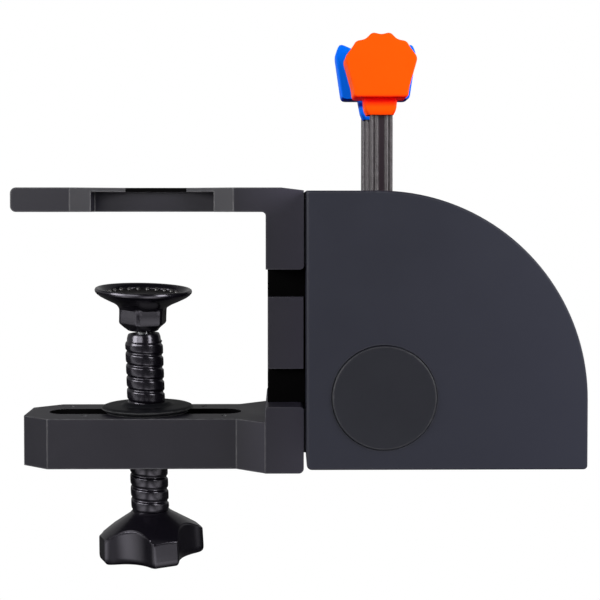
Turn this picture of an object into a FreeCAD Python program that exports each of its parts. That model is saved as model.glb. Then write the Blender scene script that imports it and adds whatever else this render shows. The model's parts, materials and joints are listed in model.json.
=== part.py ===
"""Desk-clamp throttle quadrant: three levers in a quarter-round housing on a C clamp.

Millimetres, +Z up. The origin is the middle of the upper jaw's underside, on the clamp
screw's axis. +X runs from the jaw tips towards the user, and -Y is the user's left.
Every function returns one named piece, and the last section writes them to parts/.
"""
import FreeCAD, Part
import math
import os

V = FreeCAD.Vector
X_AXIS = V(1, 0, 0)
Y_AXIS = V(0, 1, 0)
Z_AXIS = V(0, 0, 1)

# ---------------------------------------------------------------- driving dimensions
# housing
HOUSE_BACK = 64.5
HOUSE_FRONT = 170.0
HOUSE_BOTTOM = -96.6
HOUSE_HALF = 46.0
ARC_RADIUS = 78.5
ARC_X = HOUSE_FRONT - ARC_RADIUS
ARC_Z = -70.4
WALL = 2.5
BACK_CORNER = 2.0
FRONT_CORNER = 1.5
COVER_EDGE = 0.8
COVER_INNER = HOUSE_HALF - WALL

# lever pivot, shaft and side caps
PIVOT_X = 93.6
PIVOT_Z = -69.4
SHAFT_R = 3.0
RUNNING = 0.06
BORE_R = SHAFT_R + RUNNING
CAP_R = 19.6
CAP_PROUD = 0.9
CAP_RECESS = 1.5

# levers: name and place across the housing
LEVERS = (("mixture", -27.0), ("propeller", 0.0), ("throttle", 27.0))
LEVER_TRAVEL = 70.0
HUB_R = 10.0
HUB_HALF = 4.5
STEM_WIDTH = 8.6
STEM_CORE = 4.8
STEM_RIB = 0.4
RIB_WIDTH = 1.1
STEM_TOP = {"mixture": 106.7, "propeller": 106.7, "throttle": 119.0}
TANG_WIDTH = 7.0
TANG_THICK = 4.0
TANG_RISE = 9.5
SLOT_SIDE = 0.5
SLOT_END = 0.6
STRIP_SIDE = 0.3

# gear train: toothed sector on each lever, pinion on each potentiometer
MODULE = 1.0
PRESSURE = math.radians(25.0)
SECTOR_TEETH = 42
PINION_TEETH = 14
SECTOR_ADDENDUM = 0.8
PINION_ADDENDUM = 0.9
ROOT_GAP = 0.3
BACKLASH = 0.2
MESH_ANGLE = 120.0
SECTOR_R = MODULE * SECTOR_TEETH / 2
PINION_R = MODULE * PINION_TEETH / 2
POT_DISTANCE = SECTOR_R + PINION_R
POT_X = PIVOT_X + POT_DISTANCE * math.sin(math.radians(MESH_ANGLE))
POT_Z = PIVOT_Z + POT_DISTANCE * math.cos(math.radians(MESH_ANGLE))
POT_R = 7.5

# rocker switches in the front face, one under each lever
SWITCH_Z = -83.5
ROCKER_X = 166.5
CUTOUT_Y = 9.6
CUTOUT_Z = 6.6
POCKET_Y = 8.5
POCKET_Z = 5.5

# tie posts between the side covers, as (x, z)
POST_R = 2.8
POSTS = ((71.5, -89.5), (71.5, 1.0), (146.0, -89.5), (162.4, -64.5))

# clamp: upper jaw, spine, lower jaw
CLAMP_HALF = 27.5
JAW_TIP = -49.7
JAW_TOP = 9.5
COLUMN_IN = 48.9
COLUMN_OUT = 63.7
BLOCK_BOTTOM = -22.3
WAIST_HALF = 15.5
POCKET_FLOOR = 13.0
LIP = 1.6
LOWER_TIP = -48.5
LOWER_TOP = -81.8
LOWER_BOTTOM = -101.8
BASE_IN = 48.6
BASE_TOP = -75.7
ARM_HALF = 18.4
BOLT_X = 56.3
BOLT_Y = 9.5
MOUNT_Y = 18.0
MOUNT_Z = (-10.0, -80.0)

# clamp screw, nut, swivel pad and star knob; the screw leans about the middle of its nut
SCREW_LEAN = 2.0
LEAN_Z = -92.0
THREAD_R = 7.7
SCREW_TOP = -49.4
SCREW_HOLLOW_R = 9.2
NECK_TOP = -123.0
NUT_R = 11.0
FLANGE_R = 18.7
FLANGE = 2.8
FLANGE_EDGE = 1.5
BALL_Z = -42.5
BALL_R = 5.4
LINER_IN = 5.7
LINER_OUT = 6.8
SOCKET_R = 7.1
PAD_RIM_R = 19.5
PAD_TOP = -32.4
REST_TILT_X = 3.0
REST_TILT_Y = 1.9
KNOB_R = 21.6
KNOB_BOTTOM = -141.5
KNOB_TURN = 22.0
TANG_R = 5.0


# ---------------------------------------------------------------- shape helpers
def block(x0, x1, y0, y1, z0, z1):
    """A box from its low and high corners."""
    return Part.makeBox(x1 - x0, y1 - y0, z1 - z0, V(x0, y0, z0))


def rod(radius, start, end):
    """A round bar between two points."""
    axis = end.sub(start)
    return Part.makeCylinder(radius, axis.Length, start, axis)


def tube(outer, inner, start, end):
    return rod(outer, start, end).cut(rod(inner, start, end))


def prism_y(points, y0, y1):
    """A closed (x, z) outline pushed from y0 to y1."""
    corners = [V(x, y0, z) for x, z in points]
    face = Part.Face(Part.makePolygon(corners + corners[:1]))
    return face.extrude(V(0, y1 - y0, 0))


def prism_z(points, z0, z1):
    """A closed (x, y) outline pushed from z0 to z1."""
    corners = [V(x, y, z0) for x, y in points]
    face = Part.Face(Part.makePolygon(corners + corners[:1]))
    return face.extrude(V(0, 0, z1 - z0))


def turned(profile):
    """An (r, z) outline revolved about the clamp screw's axis."""
    corners = [V(r, 0, z) for r, z in profile]
    face = Part.Face(Part.makePolygon(corners + corners[:1]))
    return face.revolve(V(0, 0, 0), Z_AXIS, 360)


def fuse(shapes):
    body = shapes[0]
    for shape in shapes[1:]:
        body = body.fuse(shape)
    return body.removeSplitter()


def group(shapes):
    """Separate solids kept together, for identical fasteners."""
    return Part.makeCompound(shapes)


def rounded(shape, radius, chosen):
    """Fillets the edges that chosen(edge) picks."""
    edges = [edge for edge in shape.Edges if chosen(edge)]
    return shape.makeFillet(radius, edges)


def lies_at(edge, axis, value):
    """True when every corner of the edge has this coordinate."""
    return all(abs(getattr(vertex.Point, axis) - value) < 1e-4 for vertex in edge.Vertexes)


def from_pivot(angle, radius):
    """The (x, z) point at an angle from straight up, turning towards +X."""
    turn = math.radians(angle)
    return PIVOT_X + radius * math.sin(turn), PIVOT_Z + radius * math.cos(turn)


def at_pivot(y):
    return V(PIVOT_X, y, PIVOT_Z)


def at_pot(y):
    return V(POT_X, y, POT_Z)


def leaned(shape):
    """Turns a piece that was made upright to the way the clamp screw leans."""
    copy = shape.copy()
    copy.rotate(V(0, 0, LEAN_Z), Y_AXIS, -SCREW_LEAN)
    return copy


def ball_centre():
    """The ball's centre, on the leaning axis."""
    lean = math.radians(SCREW_LEAN)
    reach = BALL_Z - LEAN_Z
    return V(-reach * math.sin(lean), 0, LEAN_Z + reach * math.cos(lean))


def hexagon_y(across, x, z, y0, y1):
    corner = across / math.sqrt(3)
    turns = [math.radians(60 * i) for i in range(6)]
    return prism_y([(x + corner * math.cos(t), z + corner * math.sin(t)) for t in turns], y0, y1)


# ---------------------------------------------------------------- housing
def house_profile(inset, y0, y1):
    """The quarter-round side outline, inset by a wall, pushed from y0 to y1."""
    back = HOUSE_BACK + inset
    front = HOUSE_FRONT - inset
    bottom = HOUSE_BOTTOM + inset
    radius = ARC_RADIUS - inset
    top = ARC_Z + radius
    slant = radius * math.sqrt(0.5)
    r_back = max(BACK_CORNER - inset, 0.4)
    r_front = max(FRONT_CORNER - inset, 0.4)
    sweep = 1 - math.sqrt(0.5)

    def p(x, z):
        return V(x, y0, z)

    back_arc = Part.Arc(p(back + r_back, bottom),
                        p(back + r_back * sweep, bottom + r_back * sweep),
                        p(back, bottom + r_back))
    crown = Part.Arc(p(ARC_X, top), p(ARC_X + slant, ARC_Z + slant), p(front, ARC_Z))
    front_arc = Part.Arc(p(front, bottom + r_front),
                         p(front - r_front * sweep, bottom + r_front * sweep),
                         p(front - r_front, bottom))
    edges = [back_arc.toShape(),
             Part.makeLine(p(back, bottom + r_back), p(back, top)),
             Part.makeLine(p(back, top), p(ARC_X, top)),
             crown.toShape(),
             Part.makeLine(p(front, ARC_Z), p(front, bottom + r_front)),
             front_arc.toShape(),
             Part.makeLine(p(front - r_front, bottom), p(back + r_back, bottom))]
    return Part.Face(Part.Wire(edges)).extrude(V(0, y1 - y0, 0))


def shell_ring():
    """The wall between the side covers, all the way round."""
    outer = house_profile(0, -COVER_INNER, COVER_INNER)
    return outer.cut(house_profile(WALL, -COVER_INNER - 1, COVER_INNER + 1))


def back_and_bottom():
    """The region of the ring that belongs to the base frame."""
    inner_top = ARC_Z + ARC_RADIUS - WALL
    span = COVER_INNER + 1
    back = block(HOUSE_BACK - 1, HOUSE_BACK + WALL, -span, span, HOUSE_BOTTOM - 1, inner_top)
    bottom = block(HOUSE_BACK - 1, HOUSE_FRONT - WALL, -span, span,
                   HOUSE_BOTTOM - 1, HOUSE_BOTTOM + WALL)
    inner_corner = block(HOUSE_BACK - 1, HOUSE_BACK + 2 * WALL, -span, span,
                         HOUSE_BOTTOM - 1, HOUSE_BOTTOM + 2 * WALL)
    return fuse([back, bottom, inner_corner])


def lever_slot(y, side):
    """The space that one stem sweeps, with room to spare at its ends and sides."""
    half = STEM_WIDTH / 2 + SLOT_END
    turn = math.radians(LEVER_TRAVEL)
    across = (half * math.cos(turn), -half * math.sin(turn))
    near = from_pivot(LEVER_TRAVEL, 40)
    far = from_pivot(LEVER_TRAVEL, 100)
    outline = [(PIVOT_X - half, PIVOT_Z + 40),
               (PIVOT_X - half, PIVOT_Z + 100),
               from_pivot(LEVER_TRAVEL / 2, 130),
               (far[0] + across[0], far[1] + across[1]),
               (near[0] + across[0], near[1] + across[1]),
               from_pivot(LEVER_TRAVEL / 2, 40)]
    reach = STEM_CORE / 2 + STEM_RIB + side
    return prism_y(outline, y - reach, y + reach)


def quadrant_panel():
    """Top, curved face and front wall, slotted for the levers and cut out for switches."""
    panel = shell_ring().cut(back_and_bottom())
    for _, y in LEVERS:
        panel = panel.cut(lever_slot(y, SLOT_SIDE))
        panel = panel.cut(block(HOUSE_FRONT - WALL - 1, HOUSE_FRONT + 1, y - CUTOUT_Y, y + CUTOUT_Y,
                                SWITCH_Z - CUTOUT_Z, SWITCH_Z + CUTOUT_Z))
    return panel


GROMMET_Y = 38.0
GROMMET_Z = -80.0
GROMMET_NECK = 4.5
GROMMET_BORE = 2.3
BOARD_Y = 26.0
BOARD_Z = (-58.0, -22.0)
BRACKET_SCREWS = ((124.5, -8.0), (124.5, 20.0))
FLOOR_TOP = HOUSE_BOTTOM + WALL
WALL_IN = HOUSE_BACK + WALL


def mount_points():
    return [(y, z) for y in (-MOUNT_Y, MOUNT_Y) for z in MOUNT_Z]


def board_points():
    return [(y, z) for y in (-BOARD_Y, BOARD_Y) for z in BOARD_Z]


def base_frame():
    """Back wall and floor, with two raised pads that meet the clamp."""
    frame = shell_ring().common(back_and_bottom())
    upper_pad = block(COLUMN_OUT, HOUSE_BACK, -25, 25, -20, 5.0)
    lower_pad = block(COLUMN_OUT, HOUSE_BACK, -25, 25, -94, -77)
    frame = fuse([frame, upper_pad, lower_pad])
    for y, z in mount_points():
        frame = frame.cut(rod(2.6, V(COLUMN_OUT - 1, y, z), V(WALL_IN + 1, y, z)))
    for y, z in board_points():
        frame = frame.cut(rod(1.25, V(HOUSE_BACK + 1.0, y, z), V(WALL_IN + 1, y, z)))
    for x, y in BRACKET_SCREWS:
        frame = frame.cut(rod(1.5, V(x, y, FLOOR_TOP - 2.0), V(x, y, FLOOR_TOP + 1)))
    start = V(HOUSE_BACK - 1, GROMMET_Y, GROMMET_Z)
    return frame.cut(rod(GROMMET_NECK, start, V(WALL_IN + 1, GROMMET_Y, GROMMET_Z)))


def side_cover(side):
    """A side plate with a recess for its pivot cap; side is -1 for left, +1 for right."""
    y0, y1 = sorted((side * COVER_INNER, side * HOUSE_HALF))
    cover = house_profile(0, y0, y1)
    cover = rounded(cover, COVER_EDGE, lambda edge: lies_at(edge, "y", side * HOUSE_HALF))
    outside = side * (HOUSE_HALF + 1)
    cover = cover.cut(rod(CAP_R + 0.1, at_pivot(side * (HOUSE_HALF - CAP_RECESS)), at_pivot(outside)))
    boss = tube(7.0, SHAFT_R, at_pivot(side * COVER_INNER), at_pivot(side * (COVER_INNER - 4)))
    return cover.fuse(boss)


def side_cover_left():
    """The plain side, with sockets inside for the tie posts."""
    cover = side_cover(-1)
    for x, z in POSTS:
        cover = cover.fuse(tube(POST_R + 1.4, POST_R, V(x, -COVER_INNER, z), V(x, -COVER_INNER + 3, z)))
    return cover.removeSplitter()


def side_cover_right():
    """The side that is screwed on, with counterbores for the cover screws."""
    cover = side_cover(1)
    for x, z in POSTS:
        cover = cover.cut(rod(1.6, V(x, COVER_INNER - 1, z), V(x, HOUSE_HALF + 1, z)))
        cover = cover.cut(rod(3.1, V(x, HOUSE_HALF - 1.5, z), V(x, HOUSE_HALF + 1, z)))
    return cover.removeSplitter()


def pivot_cap(side):
    cap = rod(CAP_R, at_pivot(side * (HOUSE_HALF - CAP_RECESS)), at_pivot(side * (HOUSE_HALF + CAP_PROUD)))
    return rounded(cap, 0.6, lambda edge: lies_at(edge, "y", side * (HOUSE_HALF + CAP_PROUD)))


def tie_posts():
    posts = []
    for x, z in POSTS:
        post = rod(POST_R, V(x, -COVER_INNER, z), V(x, COVER_INNER, z))
        posts.append(post.cut(rod(1.5, V(x, COVER_INNER - 9, z), V(x, COVER_INNER + 1, z))))
    return group(posts)


def cover_screws():
    screws = []
    for x, z in POSTS:
        seat = HOUSE_HALF - 1.5
        head = rod(2.8, V(x, seat, z), V(x, seat + 1.3, z))
        head = head.cut(hexagon_y(2.0, x, z, seat + 0.5, seat + 2))
        screws.append(head.fuse(rod(1.5, V(x, COVER_INNER - 8, z), V(x, seat, z))))
    return group(screws)


def slot_dust_strips():
    """Curved strips behind the slots that keep dust out, each slit for its stem."""
    outer = ARC_RADIUS - WALL - 0.05
    inner = outer - 1.5
    strips = []
    for _, y in LEVERS:
        y0 = y - 8.5
        y1 = y + 8.5
        centre = V(ARC_X, y0, ARC_Z)
        band = Part.makeCylinder(outer, y1 - y0, centre, Y_AXIS, 82)
        band = band.cut(Part.makeCylinder(inner, y1 - y0, centre, Y_AXIS, 82))
        low = min(vertex.Point.x for vertex in band.Vertexes)
        if low < ARC_X - 1:
            raise ValueError("dust strip turned the wrong way")
        flat = block(ARC_X - 7.5, ARC_X, y0, y1, ARC_Z + inner, ARC_Z + outer)
        strips.append(band.fuse(flat).cut(lever_slot(y, STRIP_SIDE)))
    return group(strips)


# ---------------------------------------------------------------- shaft and levers
def pivot_shaft():
    return rod(SHAFT_R, at_pivot(-COVER_INNER), at_pivot(COVER_INNER))


WASHER = 0.5
SIDE_GAP = 0.3
GEAR_START = HUB_HALF
GEAR_END = HUB_HALF + 2.5


def friction_washers():
    """A thin washer beside each hub; the cover screws load the stack."""
    washers = []
    for _, y in LEVERS:
        face = y - HUB_HALF - SIDE_GAP
        washers.append(tube(8.0, SHAFT_R, at_pivot(face - WASHER), at_pivot(face)))
    return group(washers)


def shaft_spacers():
    """Sleeves that hold the hubs apart."""
    starts = [-COVER_INNER + 4] + [y + GEAR_END + SIDE_GAP for _, y in LEVERS]
    ends = [y - HUB_HALF - SIDE_GAP - WASHER for _, y in LEVERS] + [COVER_INNER - 4]
    return group([tube(5.5, SHAFT_R, at_pivot(a), at_pivot(b)) for a, b in zip(starts, ends)])


def lever_arm(y, top):
    """Hub, ribbed flat stem and the tang that the knob sits on."""
    half = STEM_WIDTH / 2
    core = STEM_CORE / 2
    face = core + STEM_RIB
    low = PIVOT_Z + HUB_R - 2
    high = PIVOT_Z + top
    parts = [rod(HUB_R, at_pivot(y - HUB_HALF), at_pivot(y + HUB_HALF)),
             block(PIVOT_X - half, PIVOT_X + half, y - core, y + core, low, high),
             block(PIVOT_X - TANG_WIDTH / 2, PIVOT_X + TANG_WIDTH / 2,
                   y - TANG_THICK / 2, y + TANG_THICK / 2, high - 1, high + TANG_RISE)]
    edge = half - RIB_WIDTH / 2
    for offset in (-edge, -2.0, 2.0, edge):
        x = PIVOT_X + offset
        parts.append(block(x - RIB_WIDTH / 2, x + RIB_WIDTH / 2, y - face, y + face, low, high))
    return fuse(parts).cut(rod(BORE_R, at_pivot(y - HUB_HALF - 1), at_pivot(y + HUB_HALF + 1)))


def involute(angle):
    return math.tan(angle) - angle


def tooth_outline(teeth, addendum, dedendum, centre_angle):
    """(angle, radius) points across one gear tooth, with half the backlash removed."""
    pitch_r = MODULE * teeth / 2
    base_r = pitch_r * math.cos(PRESSURE)
    root_r = pitch_r - dedendum
    tip_r = pitch_r + addendum
    half_pitch = (math.pi * MODULE / 2 - BACKLASH / 2) / (2 * pitch_r)
    start_r = max(root_r, base_r)
    radii = [start_r + (tip_r - start_r) * i / 5 for i in range(6)]
    flank = []
    for radius in radii:
        at_radius = math.acos(min(base_r / radius, 1.0))
        flank.append((half_pitch + involute(PRESSURE) - involute(at_radius), radius))
    if root_r < base_r:
        flank.insert(0, (flank[0][0], root_r))
    left = [(centre_angle - math.degrees(a), r) for a, r in flank]
    right = [(centre_angle + math.degrees(a), r) for a, r in reversed(flank)]
    return left + right


def sector_gear(y):
    """A fan of teeth on a hub, bolted beside the lever's hub."""
    step = 360.0 / SECTOR_TEETH
    dedendum = PINION_ADDENDUM + ROOT_GAP
    root = SECTOR_R - dedendum
    centres = [MESH_ANGLE + step * k for k in range(-10, 3)]
    outline = [(centres[0] - step / 2, 6.0), (centres[0] - step / 2, root)]
    for centre in centres:
        outline += tooth_outline(SECTOR_TEETH, SECTOR_ADDENDUM, dedendum, centre)
    outline += [(centres[-1] + step / 2, root), (centres[-1] + step / 2, 6.0)]
    fan = prism_y([from_pivot(a, r) for a, r in outline], y + GEAR_START, y + GEAR_END)
    hub = rod(8.5, at_pivot(y + GEAR_START), at_pivot(y + GEAR_END))
    gear = fan.fuse(hub).removeSplitter()
    return gear.cut(rod(BORE_R, at_pivot(y), at_pivot(y + GEAR_END + 1)))


def pinion(y):
    """The small gear with the shaft that turns in the potentiometer."""
    dedendum = SECTOR_ADDENDUM + ROOT_GAP + 0.05
    step = 360.0 / PINION_TEETH
    towards_sector = MESH_ANGLE + 180.0
    outline = []
    for k in range(PINION_TEETH):
        centre = towards_sector + (k + 0.5) * step
        outline += tooth_outline(PINION_TEETH, PINION_ADDENDUM, dedendum, centre)
    points = []
    for angle, radius in outline:
        turn = math.radians(angle)
        points.append((POT_X + radius * math.sin(turn), POT_Z + radius * math.cos(turn)))
    gear = prism_y(points, y + GEAR_START - 0.2, y + GEAR_END + 0.2)
    return gear.fuse(rod(2.5, at_pot(y + GEAR_END), at_pot(y + 14.5)))


# knobs
KNOB_X = PIVOT_X - 0.6
KNOB_BASE = PIVOT_Z + 113.0
KNOB_HALF = 9.0
BROAD_HALF = 7.0
GRIP_HALF = 11.0
COLLAR_HALF = 5.5


def arc_outline(points, y0, y1):
    """An outline of straight sides and arcs: each entry is (x, z) or (middle, end) of an arc."""
    edges = []
    here = points[0]
    for entry in points[1:]:
        if isinstance(entry[0], tuple):
            middle, there = entry
            arc = Part.Arc(V(here[0], y0, here[1]), V(middle[0], y0, middle[1]), V(there[0], y0, there[1]))
            edges.append(arc.toShape())
        else:
            there = entry
            edges.append(Part.makeLine(V(here[0], y0, here[1]), V(there[0], y0, there[1])))
        here = there
    return Part.Face(Part.Wire(edges)).extrude(V(0, y1 - y0, 0))


def socketed(knob, y, top):
    """Cuts the pocket that fits the stem's tang."""
    half_width = TANG_WIDTH / 2
    half_thick = TANG_THICK / 2
    low = PIVOT_Z + top - 1
    high = PIVOT_Z + top + TANG_RISE
    return knob.cut(block(PIVOT_X - half_width, PIVOT_X + half_width, y - half_thick, y + half_thick,
                          low, high))


def collar(y, top, top_half, bottom_half):
    """The tapered neck under a knob, running up a little way into it."""
    bottom = PIVOT_Z + top
    inside = KNOB_BASE + 2.5
    outline = [(KNOB_X - bottom_half, bottom), (KNOB_X + bottom_half, bottom),
               (KNOB_X + top_half, inside), (KNOB_X - top_half, inside)]
    return prism_y(outline, y - COLLAR_HALF, y + COLLAR_HALF)


def knob_plate(y, half, right_side):
    """A plate whose outline is its right side, from the base to the middle, and its mirror image."""
    def placed(entry, sign):
        if isinstance(entry[0], tuple):
            return tuple(placed(point, sign) for point in entry)
        return KNOB_X + sign * entry[0], PIVOT_Z + entry[1]

    def end_of(entry):
        return entry[1] if isinstance(entry[0], tuple) else entry

    outline = [placed(right_side[0], -1), placed(right_side[0], 1)]
    outline += [placed(entry, 1) for entry in right_side[1:]]
    for i in range(len(right_side) - 1, 0, -1):
        there = end_of(right_side[i - 1])
        entry = right_side[i]
        back = (entry[0], there) if isinstance(entry[0], tuple) else there
        outline.append(placed(back, -1))
    return arc_outline(outline, y - half, y + half)


def mixture_knob(y, top):
    """A round knob with small bumps over its upper half."""
    body = knob_plate(y, KNOB_HALF, [
        (10.3, 113.0), (10.7, 117.0), (13.4, 127.0), ((13.6, 128.4), (12.9, 129.6)), (11.0, 132.2),
        ((10.3, 133.5), (9.0, 134.1)), (6.1, 135.1), (4.5, 136.6), ((3.5, 137.3), (2.3, 137.2)),
        (0.0, 137.0)])
    return socketed(body.fuse(collar(y, top, 6.5, 5.9)), y, top)


def propeller_knob(y, top):
    """A broad knob with raised corners and a wavy top edge."""
    body = knob_plate(y, BROAD_HALF, [
        (13.7, 114.6), (14.4, 120.0), (16.1, 132.6), ((15.8, 135.2), (14.4, 136.6)),
        ((11.2, 136.0), (8.4, 134.4)), ((4.4, 134.7), (0.0, 133.2))])
    return socketed(body.fuse(collar(y, top, 6.9, 5.4)), y, top)


def throttle_knob(y, top):
    """A plain barrel-shaped grip that sits straight on its longer stem."""
    body = knob_plate(y, GRIP_HALF, [
        (8.6, 119.0), ((10.8, 124.0), (10.2, 129.5)), ((5.8, 133.8), (0.0, 135.2))])
    return socketed(body, y, top)


# ---------------------------------------------------------------- electronics
BRACKET_FACE = 9.2
BRACKET_THICK = 1.0


def pot_bracket():
    """A floor strip with one upright ear per potentiometer."""
    first = LEVERS[0][1] + BRACKET_FACE
    last = LEVERS[-1][1] + BRACKET_FACE + BRACKET_THICK
    bracket = block(108, 128, first - 4, last + 4, FLOOR_TOP, FLOOR_TOP + 1.0)
    for _, y in LEVERS:
        face = y + BRACKET_FACE
        bracket = bracket.fuse(block(108, 128, face, face + BRACKET_THICK, FLOOR_TOP, POT_Z + 9))
        bracket = bracket.cut(rod(3.5, at_pot(face - 1), at_pot(face + BRACKET_THICK + 1)))
    for x, y in BRACKET_SCREWS:
        bracket = bracket.cut(rod(1.6, V(x, y, FLOOR_TOP - 1), V(x, y, FLOOR_TOP + 2)))
    return bracket.removeSplitter()


def bracket_screws():
    screws = []
    for x, y in BRACKET_SCREWS:
        seat = FLOOR_TOP + 1.0
        head = rod(2.7, V(x, y, seat), V(x, y, seat + 1.6))
        screws.append(head.fuse(rod(1.5, V(x, y, FLOOR_TOP - 2.0), V(x, y, seat))))
    return group(screws)


def potentiometer(y):
    """Body, threaded bush with its bore, and three solder lugs."""
    back = y + BRACKET_FACE + BRACKET_THICK
    body = rod(POT_R, at_pot(back), at_pot(back + 5.5))
    bush = rod(3.5, at_pot(y + GEAR_END + 0.5), at_pot(back))
    pot = body.fuse(bush)
    for offset in (-4.0, 0.0, 4.0):
        z = POT_Z + offset
        pot = pot.fuse(block(POT_X + 5, POT_X + 10.5, back + 2.2, back + 3.0, z - 0.7, z + 0.7))
    return pot.cut(rod(2.5 + RUNNING, at_pot(y), at_pot(back + 4.8)))


def pot_nuts():
    nuts = []
    for _, y in LEVERS:
        start = y + GEAR_END + 0.7
        nut = hexagon_y(10.0, POT_X, POT_Z, start, start + 1.5)
        nuts.append(nut.cut(rod(3.5, at_pot(start - 1), at_pot(start + 3))))
    return group(nuts)


BOARD_X = WALL_IN + 2.0
BOARD_THICK = 1.6


def circuit_board():
    board = block(BOARD_X, BOARD_X + BOARD_THICK, -30, 30, -62, -18)
    for y, z in board_points():
        board = board.cut(rod(1.35, V(BOARD_X - 1, y, z), V(BOARD_X + 3, y, z)))
    return board


def board_parts():
    """Controller chip, three lever plugs, the cable header and two capacitors."""
    face = BOARD_X + BOARD_THICK
    parts = [block(face, face + 1.6, -6, 6, -47, -35),
             block(face, face + 6.0, 8, 20, -60, -53),
             rod(2.5, V(face, -18, -50), V(face + 6, -18, -50)),
             rod(2.5, V(face, -18, -42), V(face + 6, -18, -42))]
    for y in (-18.0, 0.0, 18.0):
        parts.append(block(face, face + 5.0, y - 5, y + 5, -32, -26))
    return group(parts)


def board_spacers():
    return group([tube(2.5, 1.25, V(WALL_IN, y, z), V(BOARD_X, y, z)) for y, z in board_points()])


def board_screws():
    screws = []
    face = BOARD_X + BOARD_THICK
    for y, z in board_points():
        head = rod(2.4, V(face, y, z), V(face + 1.4, y, z))
        screws.append(head.fuse(rod(1.25, V(HOUSE_BACK + 1.0, y, z), V(face, y, z))))
    return group(screws)


def cable_grommet():
    """A flanged bush in the back wall, with the bore that a lead passes through."""
    def at(x):
        return V(x, GROMMET_Y, GROMMET_Z)

    outer = HOUSE_BACK - 2.0
    inner = WALL_IN + 1.5
    bush = rod(GROMMET_NECK, at(HOUSE_BACK), at(WALL_IN))
    bush = bush.fuse(rod(6.0, at(outer), at(HOUSE_BACK))).fuse(rod(5.5, at(WALL_IN), at(inner)))
    bush = bush.cut(rod(GROMMET_BORE, at(outer - 1), at(inner + 1)))
    return rounded(bush, 0.7, lambda edge: lies_at(edge, "x", outer) and edge.Length > 30)


def switch_body(y):
    """Bezel on the front face, with the pocket that its rocker tilts in."""
    bezel = block(HOUSE_FRONT, HOUSE_FRONT + 1.2, y - 11, y + 11, SWITCH_Z - 8, SWITCH_Z + 8)
    body = block(154, HOUSE_FRONT, y - 9.5, y + 9.5, SWITCH_Z - 6.5, SWITCH_Z + 6.5)
    bezel = rounded(bezel, 0.5, lambda edge: lies_at(edge, "x", HOUSE_FRONT + 1.2))
    switch = body.fuse(bezel)
    switch = switch.cut(block(162.5, 175, y - POCKET_Y, y + POCKET_Y,
                              SWITCH_Z - POCKET_Z, SWITCH_Z + POCKET_Z))
    pin = 0.9 + RUNNING
    switch = switch.cut(rod(pin, V(ROCKER_X, y - 9.2, SWITCH_Z), V(ROCKER_X, y + 9.2, SWITCH_Z)))
    for offset in (-4.0, 0.0, 4.0):
        z = SWITCH_Z + offset
        switch = switch.fuse(block(150, 154, y - 2.4, y + 2.4, z - 0.4, z + 0.4))
    return switch.removeSplitter()


def rocker_cap(y):
    """The rocker: a dished front, a narrow back and two pivot pins."""
    x = ROCKER_X
    z = SWITCH_Z
    outline = [(x - 2.6, z - 2.6), (x - 2.6, z + 2.6), (x + 5.1, z + 4.5),
               ((x + 4.2, z), (x + 5.1, z - 4.5)), (x - 2.6, z - 2.6)]
    cap = arc_outline(outline, y - 8.1, y + 8.1)
    return cap.fuse(rod(0.9, V(x, y - 8.9, z), V(x, y + 8.9, z)))


# ---------------------------------------------------------------- clamp
def mirrored(upper_side):
    """A plan outline from its +Y side, listed from the tip to the back."""
    return upper_side + [(x, -y) for x, y in reversed(upper_side)]


def upper_jaw():
    """Flat jaw with a waist and hollowed edges under a lip, and the block at its root."""
    plan = mirrored([(JAW_TIP, CLAMP_HALF), (-26.8, CLAMP_HALF), (-6.7, WAIST_HALF),
                     (17.4, WAIST_HALF), (36.4, CLAMP_HALF), (COLUMN_OUT, CLAMP_HALF)])
    plate = prism_z(plan, 0, JAW_TOP)
    for side in (-1, 1):
        y0, y1 = sorted((side * POCKET_FLOOR, side * (CLAMP_HALF + 1)))
        plate = plate.cut(block(-19.3, 28.6, y0, y1, -1, JAW_TOP - LIP))
    plate = rounded(plate, 2.3, lambda edge: lies_at(edge, "x", JAW_TIP) and edge.Length > 20)
    slope = prism_y([(55, JAW_TOP), (COLUMN_OUT + 1, JAW_TOP - 1.2), (COLUMN_OUT + 1, JAW_TOP + 1)],
                    -CLAMP_HALF - 1, CLAMP_HALF + 1)
    root = block(COLUMN_IN, COLUMN_OUT, -CLAMP_HALF, CLAMP_HALF, BLOCK_BOTTOM, 0.5)
    corner_r = 1.5
    root = rounded(root, corner_r, lambda edge: lies_at(edge, "z", BLOCK_BOTTOM)
                   and lies_at(edge, "x", COLUMN_OUT))
    gusset = block(COLUMN_IN - corner_r, COLUMN_IN, -CLAMP_HALF, CLAMP_HALF, -corner_r, 0)
    gusset = gusset.cut(rod(corner_r, V(COLUMN_IN - corner_r, -CLAMP_HALF - 1, -corner_r),
                            V(COLUMN_IN - corner_r, CLAMP_HALF + 1, -corner_r)))
    jaw = fuse([plate.cut(slope), root, gusset])
    for y in (-BOLT_Y, BOLT_Y):
        jaw = jaw.cut(rod(2.5, V(BOLT_X, y, BLOCK_BOTTOM - 1), V(BOLT_X, y, 3)))
    for y in (-MOUNT_Y, MOUNT_Y):
        jaw = jaw.cut(rod(2.5, V(53.5, y, MOUNT_Z[0]), V(COLUMN_OUT + 1, y, MOUNT_Z[0])))
    return jaw


def clamp_spine():
    """The narrow bar between the jaws, with a wider rib block at its middle."""
    bar = block(49.5, COLUMN_OUT + 0.6, -WAIST_HALF, WAIST_HALF, BASE_TOP, BLOCK_BOTTOM)
    rib = block(49.6, COLUMN_OUT, -19, 19, -62, -33.5)
    spine = bar.fuse(rib)
    for y in (-BOLT_Y, BOLT_Y):
        spine = spine.cut(rod(2.6, V(BOLT_X, y, BASE_TOP - 1), V(BOLT_X, y, BLOCK_BOTTOM + 1)))
    return spine.removeSplitter()


PIN_HOLES = ((-24.0, -10.8), (32.0, -10.8), (-33.0, 12.6), (22.5, 12.6))


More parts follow.
